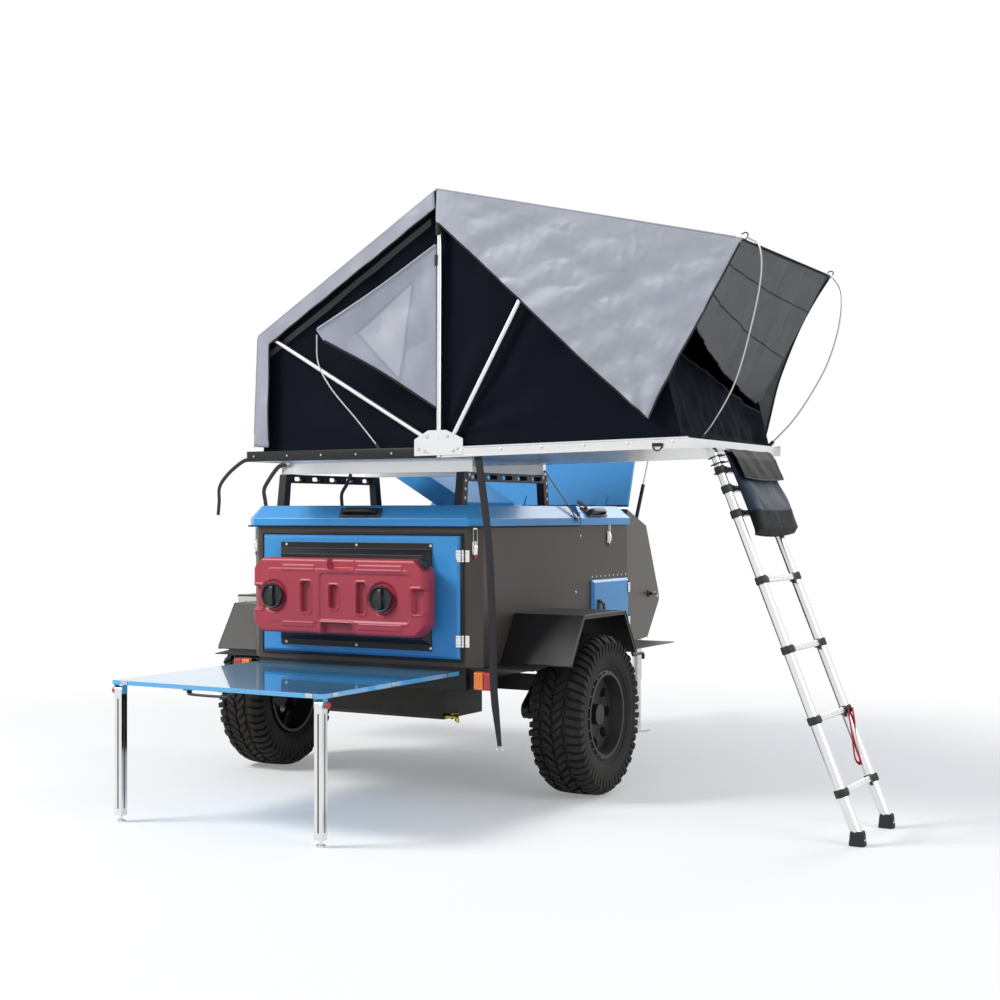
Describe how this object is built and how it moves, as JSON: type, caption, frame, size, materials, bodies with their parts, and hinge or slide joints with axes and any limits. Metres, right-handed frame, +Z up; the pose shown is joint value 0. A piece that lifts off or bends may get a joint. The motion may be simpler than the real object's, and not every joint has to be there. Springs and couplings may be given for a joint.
{
  "type": "off-road camper trailer",
  "caption": "Off-road camper trailer with an open roof tent, ladder, rear table, fluid pack on the back door, roof lids, nose lid, slide-out tray, wheels and drawbar.",
  "frame": {"origin": "ground level under the middle of the whole camp's bounding box", "axes": "+X to the ladder's side, +Y towards the towing eye, +Z up"},
  "size_m": [4.072, 4.864, 2.902],
  "materials": {
    "black_paint": "satin black powder coat",
    "charcoal_paint": "dark charcoal metallic",
    "blue_paint": "glossy light blue",
    "steel": "bright steel sheet",
    "aluminium": "anodised aluminium",
    "chrome": "polished square tube",
    "tyre_rubber": "rubber with deep tread",
    "red_plastic": "moulded dark red",
    "black_plastic": "moulded black",
    "lamp_lens": "red and amber lens",
    "tent_canvas": "dark navy ripstop canvas",
    "fly_cloth": "silver grey coated cloth",
    "bag_cloth": "blue grey woven cloth",
    "webbing": "black webbing"
  },
  "bodies": {
    "trailer": {"arm_left": "black_paint", "arm_right": "black_paint", "awning_rod_far": "steel", "awning_rod_near": "steel", "axle_beam": "black_paint", "body_floor": "charcoal_paint", "chassis_frame": "black_paint", "crossbar_front": "aluminium", "crossbar_rear": "aluminium", "drawer_runners": "steel", "entrance_flap": "tent_canvas", "fender_left": "black_paint", "fender_right": "black_paint", "jack": "black_paint", "lamp_left": "lamp_lens", "lamp_right": "lamp_lens", "lid_rear": "blue_paint", "nose_shell": "charcoal_paint", "rack_hoop_left": "black_paint", "rack_hoop_right": "black_paint", "roof_frame": "black_paint", "strap_rear": "webbing", "strap_side": "webbing", "table_top": "blue_paint", "tent_base_left": "aluminium", "tent_base_right": "aluminium", "tent_body": "tent_canvas", "tent_fly": "fly_cloth", "tent_frame": "aluminium", "tow_eye": "black_paint", "wall_left": "charcoal_paint", "wall_rear": "charcoal_paint", "wall_right": "charcoal_paint", "water_tank": "steel", "window_awning": "fly_cloth", "window_rod": "steel"},
    "wheel_left": {"tyre_left": "tyre_rubber", "rim_left": "black_paint"},
    "wheel_right": {"tyre_right": "tyre_rubber", "rim_right": "black_paint"},
    "back_door": {"rear_door": "blue_paint", "pack_bracket": "black_paint", "fluid_pack": "red_plastic", "knob_left": "black_plastic", "knob_right": "black_plastic"},
    "side_flap": {"side_hatch": "blue_paint"},
    "wing_left": {"lid_left": "blue_paint"},
    "wing_right": {"lid_right": "blue_paint"},
    "nose_cover": {"nose_lid": "blue_paint"},
    "gas_strut_tube": {"strut_cylinder": "black_paint"},
    "gas_strut_rod": {"strut_rod": "steel"},
    "kitchen_tray": {"side_drawer": "steel"},
    "leg_left": {"table_leg_left": "chrome"},
    "leg_right": {"table_leg_right": "chrome"},
    "steps": {"ladder": "aluminium", "shoe_bag": "bag_cloth"}
  },
  "joints": [
    {"name": "wheel_left_turn", "type": "hinge", "parent": "trailer", "child": "wheel_left", "pos_m": [-1.37, -0.576, 0.4], "axis": [1, 0, 0], "continuous": true},
    {"name": "wheel_right_turn", "type": "hinge", "parent": "trailer", "child": "wheel_right", "pos_m": [0.498, -0.576, 0.4], "axis": [1, 0, 0], "continuous": true},
    {"name": "back_door_swing", "type": "hinge", "parent": "trailer", "child": "back_door", "pos_m": [0.156, -1.236, 0.996], "axis": [0, 0, 1], "range_deg": [0, 90]},
    {"name": "side_hatch_swing", "type": "hinge", "parent": "trailer", "child": "side_flap", "pos_m": [0.244, 0.608, 0.886], "axis": [0, 0, 1], "range_deg": [0, 110]},
    {"name": "left_wing_lift", "type": "hinge", "parent": "trailer", "child": "wing_left", "pos_m": [-0.436, 0.266, 1.383], "axis": [0, 1, 0], "range_deg": [-31, 0]},
    {"name": "right_wing_lift", "type": "hinge", "parent": "trailer", "child": "wing_right", "pos_m": [-0.436, 0.266, 1.383], "axis": [0, -1, 0], "range_deg": [0, 31]},
    {"name": "nose_lid_lift", "type": "hinge", "parent": "trailer", "child": "nose_cover", "pos_m": [-0.436, 0.661, 1.44], "axis": [1, 0, 0], "range_deg": [-70, 0]},
    {"name": "strut_swing", "type": "hinge", "parent": "trailer", "child": "gas_strut_tube", "pos_m": [0.109, 0.993, 1.27], "axis": [1, 0, 0], "range_deg": [-112, 0]},
    {"name": "strut_slide", "type": "slide", "parent": "gas_strut_tube", "child": "gas_strut_rod", "axis": [0, 0.4759, 0.8795], "range_m": [-0.2505, 0]},
    {"name": "kitchen_slide", "type": "slide", "parent": "trailer", "child": "kitchen_tray", "axis": [1, 0, 0], "range_m": [0, 0.92]},
    {"name": "left_leg_fold", "type": "hinge", "parent": "trailer", "child": "leg_left", "pos_m": [-0.9775, -2.4055, 0.596], "axis": [1, 0, 0], "range_deg": [0, 90]},
    {"name": "right_leg_fold", "type": "hinge", "parent": "trailer", "child": "leg_right", "pos_m": [0.1055, -2.4055, 0.596], "axis": [1, 0, 0], "range_deg": [0, 90]},
    {"name": "ladder_swing", "type": "hinge", "parent": "trailer", "child": "steps", "pos_m": [1.3729, -0.93, 1.6685], "axis": [0, -1, 0], "range_deg": [0, 45]}
  ],
  "couplings": [
    {"joint": "strut_swing", "follows": "nose_lid_lift", "ratio": 1.5851},
    {"joint": "strut_slide", "follows": "nose_lid_lift", "m_per_rad": 0.20482}
  ]
}
